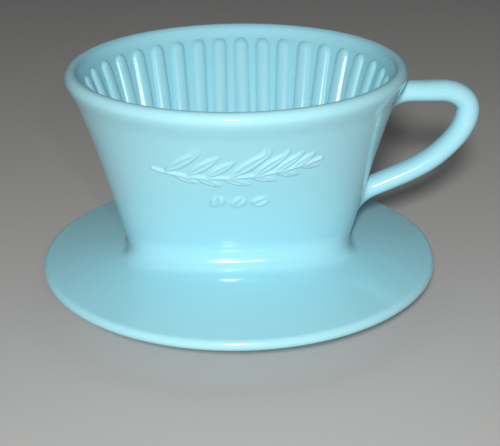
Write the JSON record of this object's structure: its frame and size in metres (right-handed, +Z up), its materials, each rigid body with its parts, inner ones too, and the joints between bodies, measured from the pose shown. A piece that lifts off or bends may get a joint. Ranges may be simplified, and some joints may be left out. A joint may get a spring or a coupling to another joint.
{
  "type": "pour-over coffee dripper",
  "caption": "Small pour-over coffee dripper in pale aqua glazed porcelain: ribbed oval-necked filter cone on a wide round saucer, with a foot ring and a loop handle.",
  "frame": {"origin": "on the plane the foot ring stands on, below the middle of the whole outline, handle included; the axis of the cone and saucer is 6.35 mm towards -X from it", "axes": "+Z up through the cone's mouth, +X towards the handle, +Y towards the back; the long axis of the oval neck lies along X"},
  "size_m": [0.1412, 0.1284, 0.078],
  "materials": {
    "glaze": "glossy transparent pale aqua glaze over white porcelain",
    "foot": "the same glaze on the ring's sides, wiped off its standing face to bare porcelain"
  },
  "bodies": {
    "root": {"filter_cone": "glaze", "drip_floor": "glaze", "saucer": "glaze", "foot_ring": "foot", "handle": "glaze"}
  },
  "joints": []
}
